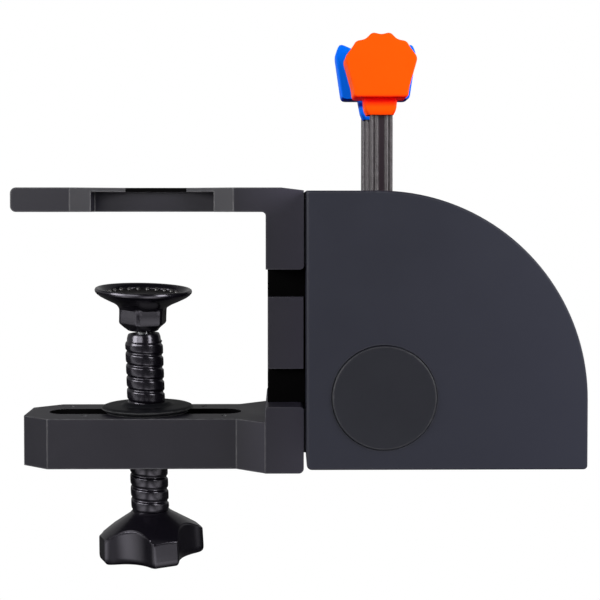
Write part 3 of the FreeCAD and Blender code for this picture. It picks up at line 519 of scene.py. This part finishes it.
def smooth_path(corners, radius, steps=4):
    """A closed (x, z) path with each corner turned into a quadratic curve."""
    path = []
    count = len(corners)
    for i, corner in enumerate(corners):
        here = Vector(corner)
        before = Vector(corners[i - 1]) - here
        after = Vector(corners[(i + 1) % count]) - here
        reach = min(radius, before.length * 0.45, after.length * 0.45)
        start = here + before.normalized() * reach
        end = here + after.normalized() * reach
        for k in range(steps + 1):
            t = k / steps
            path.append(tuple(start * (1 - t) ** 2 + here * 2 * t * (1 - t) + end * t ** 2))
    return path


def dense(path, step=0.6):
    """Points added along a closed path so that no span is longer than step."""
    points = []
    for i, start in enumerate(path):
        end = Vector(path[(i + 1) % len(path)])
        begin = Vector(start)
        parts = max(1, math.ceil((end - begin).length / step))
        points += [tuple(begin.lerp(end, k / parts)) for k in range(parts)]
    return points


def mirrored(half, x, z):
    """A closed outline from its right half, given from the bottom up, about the knob's middle."""
    right = [(x + dx, z + dz) for dx, dz in half]
    left = [(x - dx, z + dz) for dx, dz in reversed(half) if dx]
    return right + left


def mixture_knob():
    """The orange knob."""
    place = LEVERS["mixture"]
    x = place.x + KNOB_SHIFT
    half = [(10.3, 113.0), (10.7, 117.0), (13.9, 128.2), (10.9, 132.2), (9.6, 134.4), (6.0, 135.0),
            (3.4, 137.8), (0.0, 136.8)]
    outline = dense(smooth_path(mirrored(half, x, place.z), 1.5))
    body = bmesh.new()
    slab(body, outline, (x, place.z + 123.4), place.y - 9, place.y + 9, 0.8, 0.1)
    joined("mixture_knob_finished", [body, collar_shape("mixture", 6.6, 5.9)], "mixture_lever",
           "knob_orange", ("mixture_knob",))


def propeller_knob():
    """The blue knob."""
    place = LEVERS["propeller"]
    x = place.x + KNOB_SHIFT
    z = place.z
    half = [(13.6, 114.6), (14.4, 120.0), (16.3, 133.0), (14.6, 137.1), (8.4, 134.4), (4.2, 135.0),
            (0.0, 133.2)]
    corners = mirrored(half, x, z)
    body = bmesh.new()
    slab(body, dense(smooth_path(corners, 1.8)), (x, z + 125.0), place.y - 7, place.y + 7, 0.8, 0.12)
    joined("propeller_knob_finished", [body, collar_shape("propeller", 6.9, 5.4)], "propeller_lever",
           "knob_blue", ("propeller_knob",))


def throttle_knob():
    """A plain round grip, fuller below its middle."""
    place = LEVERS["throttle"]
    x = place.x + KNOB_SHIFT
    z = place.z
    half = [(7.6, 119.0), (10.9, 123.0), (10.4, 130.5), (5.0, 134.8), (0.0, 135.3)]
    corners = mirrored(half, x, z)
    body = bmesh.new()
    slab(body, dense(smooth_path(corners, 3.5)), (x, z + 126.5), place.y - 11, place.y + 11, 2.2, 0.4, 6)
    joined("throttle_knob_finished", [body], "throttle_lever", "knob_black", ("throttle_knob",))


def stem_ring(place, z):
    """The stem's section at one height: a flat bar with four rounded ribs on each face."""
    half = 4.3
    core = 2.4
    rib = 0.5
    face = []
    steps = 48
    for i in range(steps + 1):
        offset = -half + 2 * half * i / steps
        height = core
        for middle in (-3.75, -1.95, 1.95, 3.75):
            away = abs(offset - middle) / 0.55
            if away < 1:
                height = max(height, core + rib * math.sqrt(1 - away ** 2))
        face.append((offset, height))
    face[0] = (-half, core)
    face[-1] = (half, core)
    front = [Vector((place.x + x, place.y - h, z)) for x, h in face]
    back = [Vector((place.x + x, place.y + h, z)) for x, h in reversed(face)]
    return front + back


def stem(name):
    """Hub, ribbed stem and the tang inside the knob."""
    place = LEVERS[name]
    hub = bmesh.new()
    bore = 3.06
    profile = [(bore, -4.5), (9.4, -4.5), (10.0, -3.9), (10.0, 3.9), (9.4, 4.5), (bore, 4.5)]
    rings = moved(turned(profile, 64), Matrix.Translation(place) @ Matrix.Rotation(math.pi / 2, 4, "X"))
    loft(hub, rings + rings[:1], closed_ends=False)
    bmesh.ops.remove_doubles(hub, verts=hub.verts, dist=1e-5)
    bar = bmesh.new()
    top = box_mm(name + "_knob")[0].z
    loft(bar, [stem_ring(place, place.z + 8.5), stem_ring(place, top - 0.02)])
    tang = bmesh.new()
    loft(tang, [rounded_box(place.x, place.y, 3.45, 1.95, z, 0.3, 2) for z in (top - 1.0, top + 9.0)])
    joined(name + "_lever_finished", [hub, bar, tang], name + "_lever", "stem_plastic",
           (name + "_lever_arm",), 25)


# ---------------------------------------------------------------- clamp screw and its fittings
def thread_height(z, turn, top, bottom):
    """Share of full thread depth: wide domed crests, narrow grooves, fading in at both ends."""
    phase = (z / THREAD_PITCH - THREAD_HAND * turn / TAU + THREAD_PHASE) % 1.0
    from_groove = abs(phase - 0.5)
    crest = 1.0 - 0.9 * max(0.0, 0.5 - from_groove) ** 2
    if from_groove < 0.2:
        crest *= 0.5 - 0.5 * math.cos(math.pi * from_groove / 0.2)
    fade = min(1.0, max(0.0, (top - z) / 2.5)) * min(1.0, max(0.0, (z - bottom) / 2.0))
    return crest * fade


def clamp_screw():
    """A coarse rounded thread between a hollowed nose and the knob's neck."""
    shoulder = SCREW_TOP - 3.6
    end = SCREW_END
    root = THREAD_R - THREAD_DEPTH
    segments = 96
    nose = [(3.1, -51.6), (3.3, -51.25), (4.3, -50.75), (5.2, -50.2), (5.75, -49.75), (6.0, -49.6),
            (6.3, -49.75), (6.5, -50.2), (6.8, -51.2), (root - 0.1, shoulder + 0.3)]
    rings = turned(nose, segments)
    step = THREAD_PITCH / 18
    count = int((shoulder - end) / step)
    for i in range(count + 1):
        z = shoulder - step * i
        ring = []
        for k in range(segments):
            turn = TAU * k / segments
            r = root + (THREAD_R - root) * thread_height(z, turn, shoulder + 1.5, end - 1.0)
            ring.append(Vector((r * math.cos(turn), r * math.sin(turn), z)))
        rings.append(ring)
    rings += turned([(root, end - 0.3), (4.9, end - 0.4), (4.9, end - 10)], segments)
    bm = bmesh.new()
    loft(bm, moved(rings, about(NUT_MIDDLE, (-LEAN, "Y"))))
    piece("clamp_screw_threaded", bm, "screw", "clamp_hardware", ("clamp_screw",), 60)


def star_radius(turn):
    """Four flat-ended lobes with wide hollows between them."""
    away = (math.degrees(turn) - STAR_TURN + 45) % 90 - 45
    flat = STAR_FLAT / math.cos(math.radians(away))
    valley = math.radians(45 - abs(away))
    under = STAR_ARC_R ** 2 - (STAR_ARC_C * math.sin(valley)) ** 2
    if under <= 0:
        return flat
    hollow = STAR_ARC_C * math.cos(valley) - math.sqrt(under)
    if abs(flat - hollow) >= STAR_SOFT:
        return min(flat, hollow)
    blend = (STAR_SOFT - abs(flat - hollow)) / STAR_SOFT
    return min(flat, hollow) - blend ** 2 * STAR_SOFT / 4


def star_knob():
    """The hand knob: lobed wall with a crisp upper rim, a sloping top and a flared neck."""
    bottom = STAR_BOTTOM
    segments = 240
    bm = bmesh.new()
    highest = STAR_RIM + STAR_SLOPE * (STAR_FLAT + 0.7)

    def ring(share, z=None, drop=0.0):
        """The lobed outline at a height, or at a drop below the sloping top."""
        points = []
        for i in range(segments):
            turn = TAU * i / segments
            full = star_radius(turn)
            r = full + share
            top = highest - STAR_SLOPE * full
            height = z if z is not None else top - drop
            points.append(Vector((r * math.cos(turn), r * math.sin(turn), height)))
        return points

    def cone(radius):
        """A ring on the sloping top, which is the lobed outline further out and round at the neck."""
        points = []
        for i in range(segments):
            turn = TAU * i / segments
            r = min(radius, star_radius(turn) - 0.5)
            height = highest - STAR_SLOPE * r + 0.06
            points.append(Vector((r * math.cos(turn), r * math.sin(turn), height)))
        return points

    rings = turned([(5.0, bottom + 4.5), (5.0, bottom + 2.0), (6.5, bottom + 2.0), (6.5, bottom + 0.4),
                    (6.9, bottom), (8.5, bottom)], segments)
    rings += [ring(-2.0, bottom), ring(-1.3, bottom + 0.15), ring(-0.7, bottom + 0.5),
              ring(-0.3, bottom + 1.0), ring(-0.05, bottom + 1.8), ring(0, bottom + 3.0),
              ring(-0.15, None, 1.2), ring(-0.2, None, 0.45), ring(-0.3, None, 0.15),
              ring(-0.5, None, -0.02)]
    for radius in (19.5, 18.0, 16.5, 15.0, 13.5, 12.0, 10.8):
        rings.append(cone(radius))
    neck_z = highest - STAR_SLOPE * STAR_NECK_R
    rings += turned([(9.7, neck_z + 0.35), (9.2, neck_z + 0.7), (8.6, neck_z + 1.0), (8.2, neck_z + 1.4),
                     (7.9, neck_z + 1.8), (7.4, neck_z + 1.95), (5.0, neck_z + 1.95), (5.0, bottom + 5)],
                    segments)
    loft(bm, moved(rings + rings[:1], about(NUT_MIDDLE, (-LEAN, "Y"))), closed_ends=False)
    bmesh.ops.remove_doubles(bm, verts=bm.verts, dist=1e-4)
    piece("star_knob_finished", bm, "screw", "clamp_hardware", ("star_knob",), 30)


def pad_pose():
    """The tilt of the pad at rest."""
    return about(BALL, (math.radians(PAD_TILT[0]), "X"), (math.radians(PAD_TILT[1]), "Y"))


def hex_radius(across, corner_r):
    """A function for the radius of a hexagon with softened corners, turned as the socket sits."""
    def radius_at(r, z, turn):
        away = (math.degrees(turn) + SOCKET_TURN + 30) % 60 - 30
        flat = across / math.cos(math.radians(away))
        share = min(1.0, max(0.0, (SOCKET_START - z) / SOCKET_BLEND))
        limit = across / math.cos(math.radians(30)) - corner_r
        hexed = min(flat, limit + 0.25 * (flat - limit)) * r / (across + 0.6)
        return r + (hexed - r) * share
    return radius_at


SOCKET_HEX = hex_radius(8.75, 0.35)


def shaped(r, z, turn):
    """Only the socket's outside is six-sided."""
    outside = r > 7.3 and z < -37.8
    return SOCKET_HEX(r, z, turn) if outside else r


def pad_cup():
    """The flared dish on its six-sided socket."""
    profile = [(0.4, -34.9), (8.0, -34.9), (15.4, -34.9), (16.5, -34.6), (16.7, -33.4), (17.0, -32.7),
               (17.7, -31.7), (18.4, -31.25), (19.1, -31.2), (19.6, -31.5), (19.8, -32.1), (19.6, -32.8),
               (18.9, -33.6), (17.7, -34.5), (16.2, -35.3), (14.2, -36.3), (12.2, -37.2),
               (10.8, -38.1), (9.9, -39.0), (9.55, -39.7), (9.5, -41.5),
               (9.5, -44.9), (9.2, -45.6), (7.4, -47.2), (6.5, -48.1), (6.1, -48.4), (4.9, -48.4),
               (4.9, -45.5), (6.6, -44.0), (7.1, -42.5), (6.4, -39.5), (4.0, -36.7), (0.4, -36.2)]
    placed = [(r, z + PAD_RISE) for r, z in profile]
    rings = turned(placed, 144, lambda r, z, turn: shaped(r, z - PAD_RISE, turn))
    bm = bmesh.new()
    loft(bm, moved(rings + rings[:1], Matrix.Translation((BALL.x, 0, 0))), closed_ends=False)
    bmesh.ops.remove_doubles(bm, verts=bm.verts, dist=1e-4)
    bmesh.ops.transform(bm, matrix=pad_pose(), verts=bm.verts)
    piece("pad_cup_finished", bm, "pad", "clamp_hardware", ("pad_cup",), 24)


def pad_face():
    """The grip insert: a shallow dish with a ring of small rubber nubs."""
    base = -34.4 + PAD_RISE
    bm = bmesh.new()
    loft(bm, turned([(0.5, base - 0.45), (15.3, base - 0.45), (16.3, base - 0.1), (16.35, base + 0.9),
                     (15.9, base + 1.2), (15.2, base + 0.9), (12.6, base + 0.45), (6.0, base + 0.3),
                     (0.5, base + 0.3)], 96))
    place = pad_pose() @ Matrix.Translation((BALL.x, 0, 0))
    bmesh.ops.transform(bm, matrix=place, verts=bm.verts)
    piece("pad_face_finished", bm, "pad", "rubber_black", ("pad_face",), 40)
    nubs = bmesh.new()
    for i in range(NUBS):
        turn = TAU * i / NUBS
        centre = Vector((NUB_RING_R * math.cos(turn), NUB_RING_R * math.sin(turn), 0))
        dome = [(0.95, base + 0.45), (0.93, base + 1.2), (0.75, base + 1.6), (0.4, base + 1.85),
                (0.08, base + 1.9)]
        loft(nubs, moved(turned(dome, 16), Matrix.Translation(centre)))
    bmesh.ops.transform(nubs, matrix=place, verts=nubs.verts)
    piece("pad_face_nubs", nubs, "pad", "rubber_black", (), 40, "rubber_nub")


def clamp_nut():
    """The flanged nut: rounded flange, low boss round the screw, bore that leans with it."""
    low, high = box_mm("clamp_nut")
    flange_r = high.x
    top = high.z
    bottom = low.z
    bm = bmesh.new()
    lean = about(NUT_MIDDLE, (-LEAN, "Y"))
    bore_r = THREAD_R + BORE_GAP
    outside = [(8.6, top + 1.3), (9.0, top + 1.15), (10.4, top + 0.15), (11.2, top),
               (flange_r - 2.2, top), (flange_r - 1.2, top - 0.12), (flange_r - 0.45, top - 0.4),
               (flange_r - 0.05, top - 0.8), (flange_r - 0.1, top - 1.15), (flange_r - 0.5, top - 1.4),
               (flange_r - 1.7, top - 1.5), (flange_r - 1.9, top - 2.75), (11.0, top - 2.75),
               (11.0, bottom + 1.2), (8.9, bottom + 1.2), (8.8, bottom)]
    rings = turned(outside, 96)
    bore = moved(turned([(bore_r, bottom - 0.2), (bore_r, top + 1.7)], 96), lean)
    for ring, z in zip(bore, (bottom, top + 1.3)):
        for point in ring:
            point.z = z
    rings += bore
    loft(bm, rings + rings[:1], closed_ends=False)
    bmesh.ops.remove_doubles(bm, verts=bm.verts, dist=1e-4)
    piece("clamp_nut_finished", bm, "base", "clamp_hardware", ("clamp_nut",), 30, "nut_dull")


# ---------------------------------------------------------------- everything on the model
REFINED = {"quadrant_panel": 0.3, "base_frame": 0.35,
           "side_cover_left": 0.4, "side_cover_right": 0.4, "pivot_cap_left": 0.35,
           "pivot_cap_right": 0.35, "left_switch_body": 0.25, "middle_switch_body": 0.25,
           "right_switch_body": 0.25, "left_rocker_cap": 0.4, "middle_rocker_cap": 0.4,
           "right_rocker_cap": 0.4, "cable_grommet": 0.3}


def shade(made, low, high):
    """Painted shade: faces whose middles lie inside a box, in millimetres, get the deep shade colour."""
    if len(made.data.materials) == 1:
        made.data.materials.append(MATERIALS["deep_shade"])
    for polygon in made.data.polygons:
        centre = polygon.center / MM
        if all(low[i] < centre[i] < high[i] for i in range(3)):
            polygon.material_index = 1


def finish_clamp():
    """Jaws and spine, with painted shade at the lip's waist, in the spine's gaps and in the long groove.
    """
    upper = refined("upper_jaw", 0.6)
    for y in (-WAIST_Y, WAIST_Y):
        shade(upper, (-8, y - 1, 7.8), (18, y + 1, 9.35))
    spine = refined("clamp_spine", 0.5)
    shade(spine, (49, -16, -80), (66, 16, -20))
    lower = refined("lower_jaw", 0.55)
    shade(lower, (-41, -6.9, -86), (39.5, 6.9, -82.0))


def finish_cad():
    """Rounds the edges of the moulded parts and gives every CAD node its material."""
    for node, width in REFINED.items():
        refined(node, width)
    finish_clamp()
    for name, made in frame["nodes"].items():
        made.data.materials.clear()
        made.data.materials.append(MATERIALS[SLOT_OF[name]])


def build():
    """Every piece on the model."""
    finish_cad()
    mixture_knob()
    propeller_knob()
    throttle_knob()
    for name in LEVERS:
        stem(name)
    clamp_screw()
    star_knob()
    pad_cup()
    pad_face()
    clamp_nut()


build()


# ---------------------------------------------------------------- stage and light
def floor():
    """A plain white floor below the knob, with a banded glow that only reflections show."""
    bpy.ops.mesh.primitive_plane_add(size=12.0, location=(0, 0, cad_low.z - FLOOR_DROP))
    plane = bpy.context.object
    plane.name = "floor"
    material = bpy.data.materials.new("floor")
    material.use_nodes = True
    nodes = material.node_tree.nodes
    links = material.node_tree.links
    shader = nodes["Principled BSDF"]
    shader.inputs["Base Color"].default_value = (0.25, 0.25, 0.25, 1)
    shader.inputs["Roughness"].default_value = 0.9
    shader.inputs["Specular IOR Level"].default_value = 0.0
    bright = add(nodes, "ShaderNodeEmission", Strength=1.0)
    place = add(nodes, "ShaderNodeTexCoord")
    depth = parted(nodes, links, place.outputs["Object"])["Y"]
    near = ranged(nodes, links, depth, -0.02, -0.22, 0.05, FLOOR_GLOW)
    far = ranged(nodes, links, depth, -0.60, -0.35, 0.05)
    bands = add(nodes, "ShaderNodeTexWave", bands_direction="X", Scale=1.15, Phase_Offset=1.2)
    links.new(place.outputs["Object"], bands.inputs["Vector"])
    share = ranged(nodes, links, bands.outputs["Fac"], 0.0, 1.0, 0.15, 1.3)
    strip = combined(nodes, links, "MULTIPLY", near, far)
    glow = add(nodes, "ShaderNodeEmission")
    links.new(combined(nodes, links, "MULTIPLY", strip, share), glow.inputs["Strength"])
    rays = add(nodes, "ShaderNodeLightPath")
    mirrored_floor = add(nodes, "ShaderNodeMixShader")
    links.new(rays.outputs["Is Glossy Ray"], mirrored_floor.inputs[0])
    links.new(shader.outputs["BSDF"], mirrored_floor.inputs[1])
    links.new(glow.outputs["Emission"], mirrored_floor.inputs[2])
    choose = add(nodes, "ShaderNodeMixShader")
    links.new(rays.outputs["Is Camera Ray"], choose.inputs[0])
    links.new(mirrored_floor.outputs["Shader"], choose.inputs[1])
    links.new(bright.outputs["Emission"], choose.inputs[2])
    links.new(choose.outputs["Shader"], nodes["Material Output"].inputs["Surface"])
    plane.data.materials.append(material)


def softbox(name, place, target, size, power, diffuse=True, glossy=True):
    """A rectangular lamp that faces a point; it may be left out of diffuse or glossy light."""
    data = bpy.data.lights.new(name, "AREA")
    data.shape = "RECTANGLE"
    data.size = size[0]
    data.size_y = size[1]
    data.energy = power
    lamp = bpy.data.objects.new(name, data)
    lamp.visible_diffuse = diffuse
    lamp.visible_glossy = glossy
    lamp.location = place
    lamp.rotation_euler = (Vector(target) - Vector(place)).to_track_quat("-Z", "Y").to_euler()
    bpy.context.scene.collection.objects.link(lamp)


def daylight():
    """A room that is bright at the sides and behind, and dim in front and in reflections."""
    world = bpy.data.worlds.new("room")
    bpy.context.scene.world = world
    world.use_nodes = True
    nodes = world.node_tree.nodes
    links = world.node_tree.links
    output = nodes["World Output"]
    seen = nodes["Background"]
    seen.inputs["Color"].default_value = (1, 1, 1, 1)
    seen.inputs["Strength"].default_value = 1.0
    place = add(nodes, "ShaderNodeTexCoord")
    way = parted(nodes, links, place.outputs["Generated"])
    side = ranged(nodes, links, way["Y"], -0.9, 0.0, FRONT, SIDES)
    below = ranged(nodes, links, way["Z"], -0.7, 0.0, 0.25, 1.0)
    above = ranged(nodes, links, way["Z"], 0.1, 0.9, 1.0, 0.45)
    heights = combined(nodes, links, "MULTIPLY", below, above)
    strength = combined(nodes, links, "MULTIPLY", side, heights)
    rays = add(nodes, "ShaderNodeLightPath")
    dimmed = ranged(nodes, links, rays.outputs["Is Glossy Ray"], 0.0, 1.0, 1.0, MIRRORED)
    shaded = combined(nodes, links, "MULTIPLY", strength, dimmed)
    lit = add(nodes, "ShaderNodeBackground")
    links.new(shaded, lit.inputs["Strength"])
    choose = add(nodes, "ShaderNodeMixShader")
    links.new(rays.outputs["Is Camera Ray"], choose.inputs[0])
    links.new(lit.outputs["Background"], choose.inputs[1])
    links.new(seen.outputs["Background"], choose.inputs[2])
    links.new(choose.outputs["Shader"], output.inputs["Surface"])


def lights():
    """Soft lamps to the left and right, and one in front that only reflections show."""
    daylight()
    softbox("right", (0.58, -0.38, 0.20), (0.08, 0, -0.02), (0.40, 0.40), RIGHT_LAMP_W)
    softbox("front", (-0.34, -0.85, 0.24), (-0.04, 0, -0.06), (0.50, 0.34), FRONT_LAMP_W, diffuse=False)
    softbox("left", (-0.58, -0.38, 0.16), (0.02, 0, -0.03), (0.40, 0.30), LEFT_LAMP_W)
    bpy.context.scene.view_settings.view_transform = "Standard"


floor()
lights()
